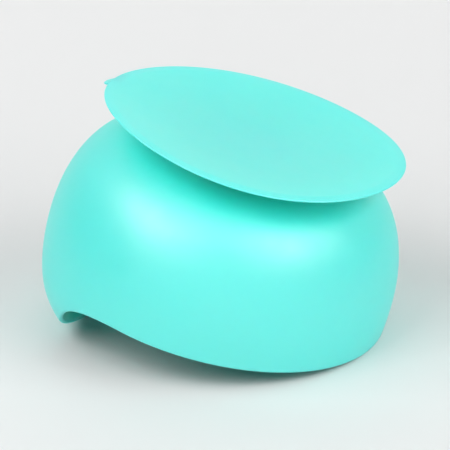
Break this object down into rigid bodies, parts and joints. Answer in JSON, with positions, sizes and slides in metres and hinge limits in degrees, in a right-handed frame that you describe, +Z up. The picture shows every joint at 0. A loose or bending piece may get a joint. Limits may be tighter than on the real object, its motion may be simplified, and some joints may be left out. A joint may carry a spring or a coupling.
{
  "type": "suction bowl",
  "caption": "Toddler's soft silicone scoop bowl with a raised, curled lip and a wide suction cup with a release tab under its base.",
  "frame": {"origin": "on the surface the bowl lies on, under the middle of its box; the bowl lies upside down, standing on its level rim and on its raised lip, with the suction cup on top", "axes": "+Z up; the scoop lip is towards -X and the row is mirror-symmetric about the XZ plane; the bowl's own axis leans 14.7 degrees about Y, so its mouth faces down and towards -X, and to stand the bowl on its suction cup the row is turned by 165.3 degrees about Y"},
  "size_m": [0.1205, 0.1186, 0.0823],
  "materials": {
    "bowl_silicone": "soft matte moulded silicone, mint green",
    "base_silicone": "soft matte moulded silicone, mint green, thinner and slightly translucent at the edge"
  },
  "bodies": {
    "bowl_body": {"bowl": "bowl_silicone", "neck": "base_silicone", "suction_hub": "base_silicone"},
    "skirt_body": {"suction_skirt": "base_silicone"},
    "tab_body": {"release_tab": "base_silicone"}
  },
  "joints": [
    {"name": "cup_press", "type": "slide", "parent": "bowl_body", "child": "skirt_body", "axis": [-0.2538, 0, -0.9673], "range_m": [0, 0.0024], "stiffness_N_per_m": 7500},
    {"name": "tab_lift", "type": "hinge", "parent": "skirt_body", "child": "tab_body", "pos_m": [-0.03742, 0, 0.08179], "axis": [0, -1, 0], "range_deg": [-25, 60], "stiffness_Nm_per_rad": 0.004}
  ]
}
